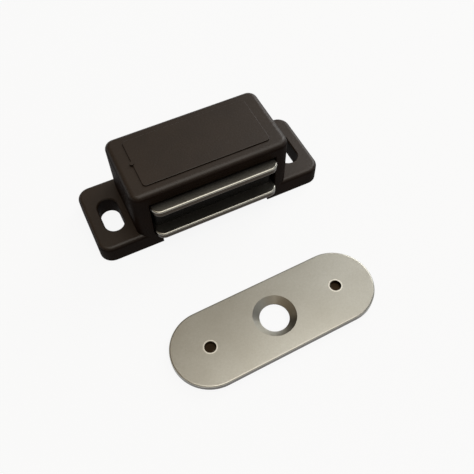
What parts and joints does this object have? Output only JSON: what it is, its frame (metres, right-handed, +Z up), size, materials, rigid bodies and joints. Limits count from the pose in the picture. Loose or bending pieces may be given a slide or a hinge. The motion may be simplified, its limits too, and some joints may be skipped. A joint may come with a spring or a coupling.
{
  "type": "magnetic catch",
  "caption": "Magnetic cabinet catch: a moulded housing with slotted ears holds a magnet between steel pole plates, with a countersunk strike plate for the door.",
  "frame": {"origin": "on the surface that the housing is screwed to, midway between the centres of its two screw slots", "axes": "+X along the housing through both slots, +Y away from the pole faces towards the housing's back, +Z up from the mounting surface"},
  "size_m": [0.046, 0.0469, 0.0152],
  "materials": {
    "brown_plastic": "moulded, dark chocolate brown, soft sheen",
    "nickel_plated_steel": "nickel plated, satin",
    "ferrite": "pressed and sintered, matte black"
  },
  "bodies": {
    "root": {"housing": "brown_plastic", "upper_pole_plate": "nickel_plated_steel", "lower_pole_plate": "nickel_plated_steel", "magnet": "ferrite", "strike_plate": "nickel_plated_steel"}
  },
  "joints": []
}
